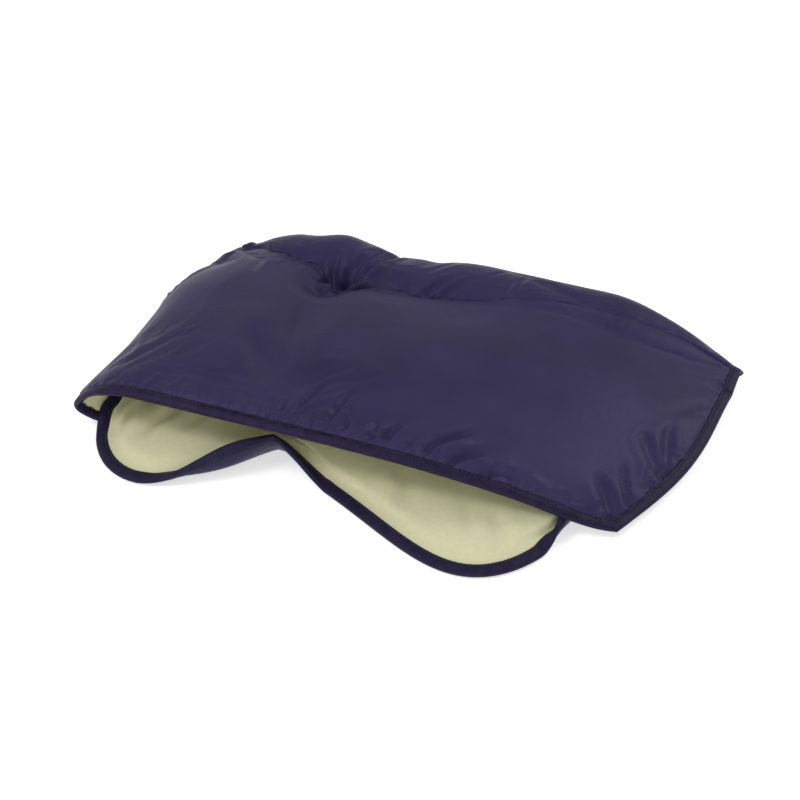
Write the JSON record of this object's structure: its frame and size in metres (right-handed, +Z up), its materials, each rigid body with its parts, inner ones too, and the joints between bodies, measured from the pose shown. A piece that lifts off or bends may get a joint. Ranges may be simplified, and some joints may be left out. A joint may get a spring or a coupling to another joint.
{
  "type": "stroller hand muff",
  "caption": "Padded nylon hand muff with a fleece lining, which wraps a pushchair's handlebar and closes on press studs behind the space for the hands.",
  "frame": {"origin": "centre of the underside, on the surface that the muff lies on", "axes": "+X along the handlebar, -Y towards the hands, +Z up"},
  "size_m": [0.5433, 0.3902, 0.0644],
  "materials": {
    "shell_nylon": "satin navy nylon with a purple tone",
    "wadding": "soft polyester wadding",
    "fleece_lining": "matt pale yellow fleece",
    "edge_tape": "woven dark navy tape, folded over the edge and stitched",
    "stud_metal": "nickel plated, satin"
  },
  "bodies": {
    "lower_panel": {"lower_shell": "shell_nylon", "lower_wadding": "wadding", "lower_lining": "fleece_lining", "lower_binding": "edge_tape", "left_stud": "stud_metal", "left_stud_ring": "stud_metal", "middle_stud": "stud_metal", "middle_stud_ring": "stud_metal", "right_stud": "stud_metal", "right_stud_ring": "stud_metal"},
    "back_panel": {"back_shell": "shell_nylon", "back_wadding": "wadding", "back_lining": "fleece_lining", "back_binding_left": "edge_tape", "back_binding_right": "edge_tape", "left_socket": "stud_metal", "left_socket_ring": "stud_metal", "middle_socket": "stud_metal", "middle_socket_ring": "stud_metal", "right_socket": "stud_metal", "right_socket_ring": "stud_metal"},
    "upper_panel": {"upper_shell": "shell_nylon", "upper_wadding": "wadding", "upper_lining": "fleece_lining", "upper_binding": "edge_tape"}
  },
  "joints": [
    {"name": "back_fold", "type": "hinge", "parent": "lower_panel", "child": "back_panel", "pos_m": [0, 0.195, 0.029], "axis": [-1, 0, 0], "range_deg": [0, 130]},
    {"name": "mouth_fold", "type": "hinge", "parent": "back_panel", "child": "upper_panel", "pos_m": [0, 0.12, 0.048], "axis": [-1, 0, 0], "range_deg": [0, 45]}
  ]
}
